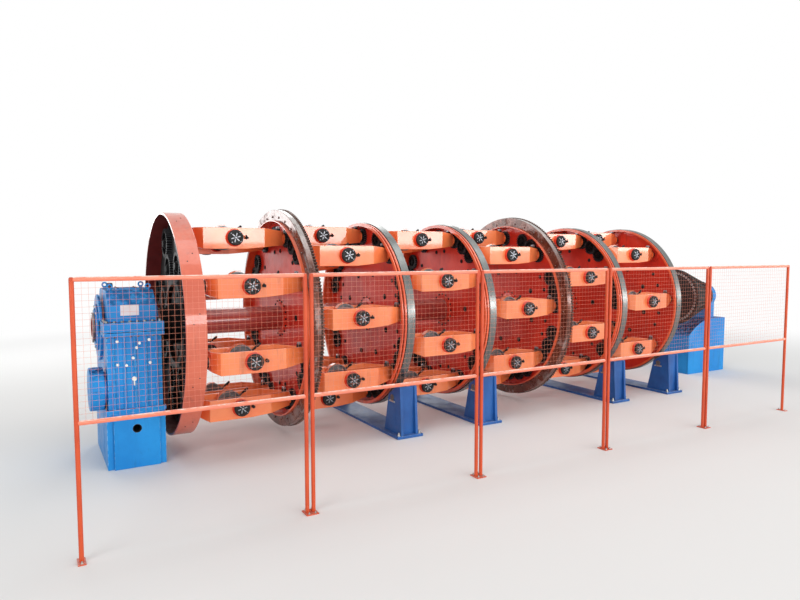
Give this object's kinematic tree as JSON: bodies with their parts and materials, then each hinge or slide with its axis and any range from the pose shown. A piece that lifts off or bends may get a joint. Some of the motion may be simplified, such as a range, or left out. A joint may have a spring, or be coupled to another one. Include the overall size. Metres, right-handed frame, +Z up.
{
  "type": "wire armoring machine",
  "caption": "Planetary wire armoring machine: a horizontal cage of bobbin cradles on a hollow tube, between drive gearbox and exit stand, behind a mesh guard fence.",
  "frame": {"origin": "on the floor below the machine axis, at the middle of the gearbox's length", "axes": "+X along the machine axis towards the exit, +Y away from the guard fence, +Z up"},
  "size_m": [12.514, 4.529, 3.08],
  "materials": {
    "gearbox_blue": "worn semi-gloss machine enamel",
    "stand_blue": "dusty satin machine enamel",
    "dark_steel": "turned steel, oiled",
    "fence_orange": "salmon-orange paint on tube and mesh",
    "disc_red": "red-orange enamel, oil-streaked",
    "drum_orange": "faded orange enamel",
    "black_gears": "blackened gear steel with bright tooth tips",
    "steel": "bare rolled steel, polished by running",
    "cradle_orange": "glossy orange enamel",
    "black_iron": "black paint on cast iron"
  },
  "bodies": {
    "frame": {"gearbox_plinth": "gearbox_blue", "gearbox_housing": "gearbox_blue", "gearbox_cover": "gearbox_blue", "coupling_guard": "gearbox_blue", "roller_stand_2": "stand_blue", "roller_stand_3": "stand_blue", "roller_stand_5": "stand_blue", "roller_stand_6": "stand_blue", "support_rollers": "dark_steel", "exit_stand": "stand_blue", "fence_panel_1": "fence_orange", "fence_panel_2": "fence_orange", "fence_panel_3": "fence_orange", "fence_panel_4": "fence_orange", "fence_panel_5": "fence_orange"},
    "cage": {"main_tube": "disc_red", "drum_shell": "drum_orange", "drum_back_plate": "drum_orange", "drum_gears": "black_gears", "sun_gear": "black_gears", "cage_disc_1": "disc_red", "cage_disc_2": "disc_red", "cage_disc_3": "disc_red", "cage_disc_4": "disc_red", "cage_disc_5": "disc_red", "cage_disc_6": "disc_red", "tyre_2": "steel", "tyre_3": "steel", "tyre_5": "steel", "tyre_6": "steel", "ring_gear_1": "steel", "ring_gear_4": "steel", "link_gears_1": "black_gears", "link_gears_2": "black_gears", "link_gears_3": "black_gears", "link_gears_4": "black_gears", "link_gears_5": "black_gears", "cradles_bay_1": "cradle_orange", "cradles_bay_2": "cradle_orange", "cradles_bay_3": "cradle_orange", "cradles_bay_4": "cradle_orange", "cradles_bay_5": "cradle_orange", "cradles_bay_6": "cradle_orange", "lay_head": "black_iron"}
  },
  "joints": [
    {"name": "cage_spin", "type": "hinge", "parent": "frame", "child": "cage", "pos_m": [0, 0, 1.58], "axis": [1, 0, 0], "continuous": true}
  ]
}
